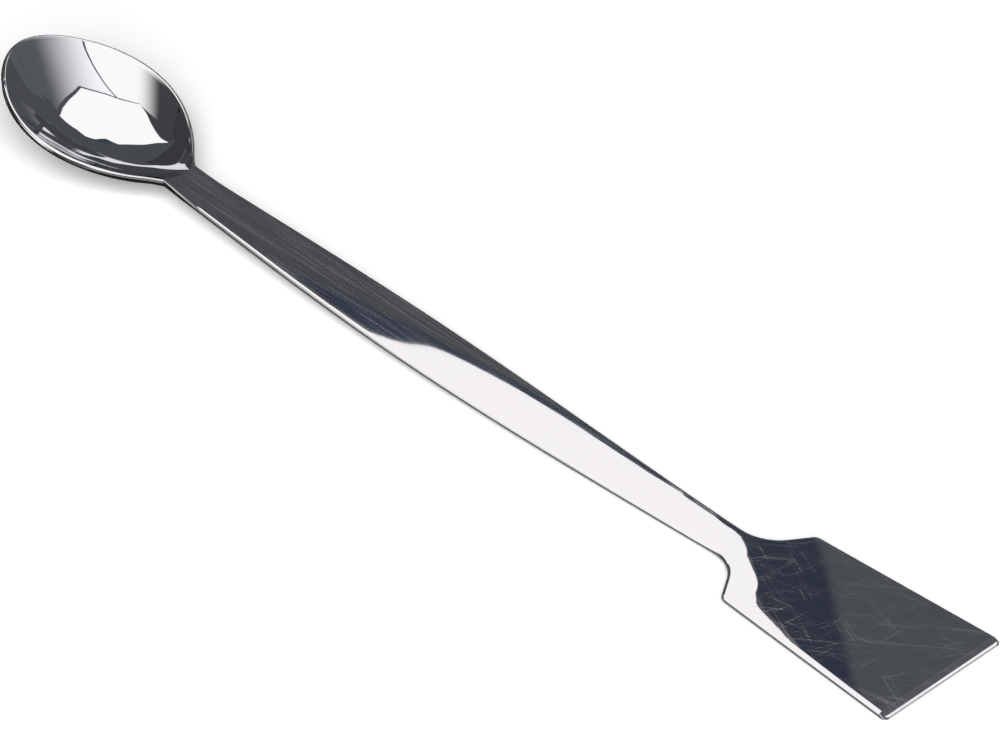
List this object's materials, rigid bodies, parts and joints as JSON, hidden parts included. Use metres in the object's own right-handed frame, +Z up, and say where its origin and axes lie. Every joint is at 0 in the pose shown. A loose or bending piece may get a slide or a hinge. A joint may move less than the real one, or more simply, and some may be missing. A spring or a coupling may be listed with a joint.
{
  "type": "lab spatula",
  "caption": "One-piece polished stainless steel lab spatula with a deep oval spoon at one end and a flat flared blade at the other.",
  "frame": {"origin": "centre of the part's outline seen from above, on the bench that it lies on (z = 0)", "axes": "+X from the spoon to the blade along the handle, +Y across the blade, +Z up, the way the spoon opens"},
  "size_m": [0.21, 0.0276, 0.012],
  "materials": {
    "polished_steel": "mirror-polished stainless steel with fine lengthwise polishing lines and light hairline scratches"
  },
  "bodies": {
    "root": {"spatula": "polished_steel"}
  },
  "joints": []
}
